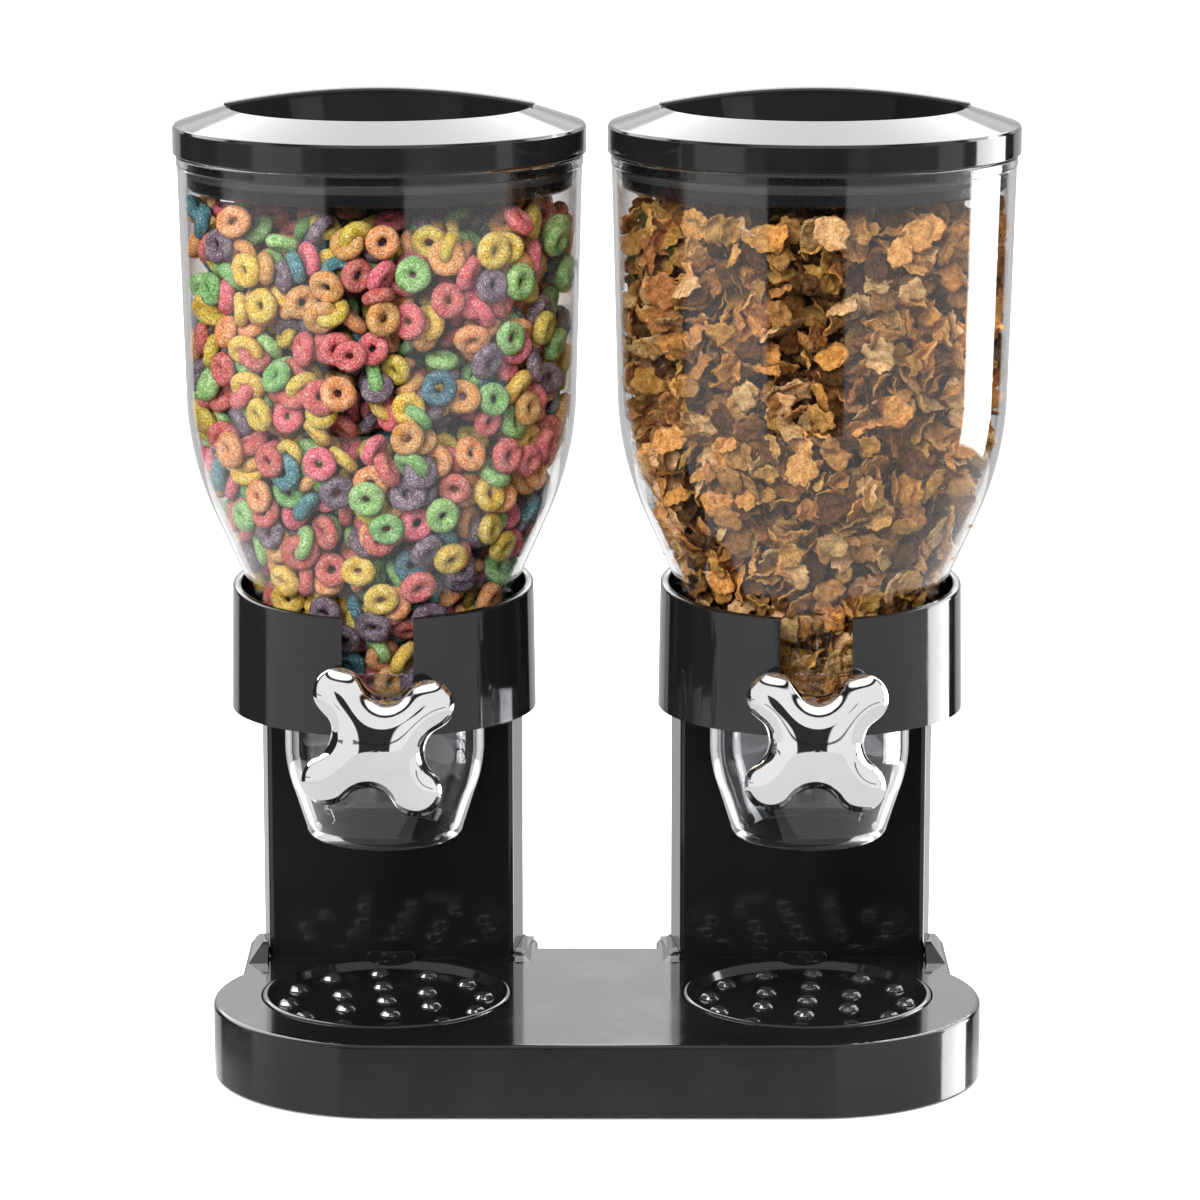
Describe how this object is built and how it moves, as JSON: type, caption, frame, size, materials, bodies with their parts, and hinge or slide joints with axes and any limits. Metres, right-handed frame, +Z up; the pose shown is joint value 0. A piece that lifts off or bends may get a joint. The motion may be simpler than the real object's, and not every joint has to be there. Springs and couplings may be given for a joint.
{
  "type": "double cereal dispenser",
  "caption": "Countertop dispenser with two clear lidded hoppers, chrome X-shaped portioning knobs, clear outlet cups and a black stand with round trays.",
  "frame": {"origin": "on the table, midway between the two hopper axes, at the bottom centre of the whole object", "axes": "+Z up, -Y towards the user (knob side), +X to the right seen from the front"},
  "size_m": [0.328, 0.16, 0.3916],
  "materials": {
    "base_black": "glossy black moulded plastic",
    "column_black": "glossy black moulded plastic",
    "collar_black": "glossy black moulded plastic",
    "lid_black": "glossy black moulded plastic",
    "tray_black": "glossy black moulded plastic",
    "inner_black": "satin black moulded plastic",
    "clear_plastic": "polished clear plastic",
    "chrome_plating": "bright chrome plating on plastic",
    "shaft_plastic": "natural white engineering plastic",
    "wheel_silicone": "translucent grey silicone",
    "seal_silicone": "black silicone",
    "foot_rubber": "black rubber",
    "screw_steel": "zinc plated steel"
  },
  "bodies": {
    "stand": {"base_shell": "base_black", "base_plate": "inner_black", "rubber_feet": "foot_rubber", "base_screws": "screw_steel", "column_left": "column_black", "column_cover_left": "inner_black", "column_screws_left": "screw_steel", "collar_left": "collar_black", "collar_screws_left": "screw_steel", "column_right": "column_black", "column_cover_right": "inner_black", "column_screws_right": "screw_steel", "collar_right": "collar_black", "collar_screws_right": "screw_steel"},
    "tray_left_body": {"tray_left": "tray_black"},
    "canister_left": {"hopper_left": "clear_plastic", "outlet_cup_left": "clear_plastic"},
    "lid_left_body": {"lid_left": "lid_black", "lid_plug_left": "inner_black", "lid_seal_left": "seal_silicone"},
    "dial_left": {"knob_left": "chrome_plating", "shaft_left": "shaft_plastic", "wheel_hub_left": "shaft_plastic", "wheel_vanes_left": "wheel_silicone"},
    "tray_right_body": {"tray_right": "tray_black"},
    "canister_right": {"hopper_right": "clear_plastic", "outlet_cup_right": "clear_plastic"},
    "lid_right_body": {"lid_right": "lid_black", "lid_plug_right": "inner_black", "lid_seal_right": "seal_silicone"},
    "dial_right": {"knob_right": "chrome_plating", "shaft_right": "shaft_plastic", "wheel_hub_right": "shaft_plastic", "wheel_vanes_right": "wheel_silicone"}
  },
  "joints": [
    {"name": "tray_lift_left", "type": "slide", "parent": "stand", "child": "tray_left_body", "axis": [0, 0, 1], "range_m": [0, 0.04]},
    {"name": "canister_lift_left", "type": "slide", "parent": "stand", "child": "canister_left", "axis": [0, 0, 1], "range_m": [0, 0.115]},
    {"name": "lid_lift_left", "type": "slide", "parent": "canister_left", "child": "lid_left_body", "axis": [0, 0, 1], "range_m": [0, 0.05]},
    {"name": "knob_turn_left", "type": "hinge", "parent": "canister_left", "child": "dial_left", "pos_m": [-0.084, 0, 0.1468], "axis": [0, 1, 0], "continuous": true},
    {"name": "tray_lift_right", "type": "slide", "parent": "stand", "child": "tray_right_body", "axis": [0, 0, 1], "range_m": [0, 0.04]},
    {"name": "canister_lift_right", "type": "slide", "parent": "stand", "child": "canister_right", "axis": [0, 0, 1], "range_m": [0, 0.115]},
    {"name": "lid_lift_right", "type": "slide", "parent": "canister_right", "child": "lid_right_body", "axis": [0, 0, 1], "range_m": [0, 0.05]},
    {"name": "knob_turn_right", "type": "hinge", "parent": "canister_right", "child": "dial_right", "pos_m": [0.084, 0, 0.1468], "axis": [0, 1, 0], "continuous": true}
  ]
}
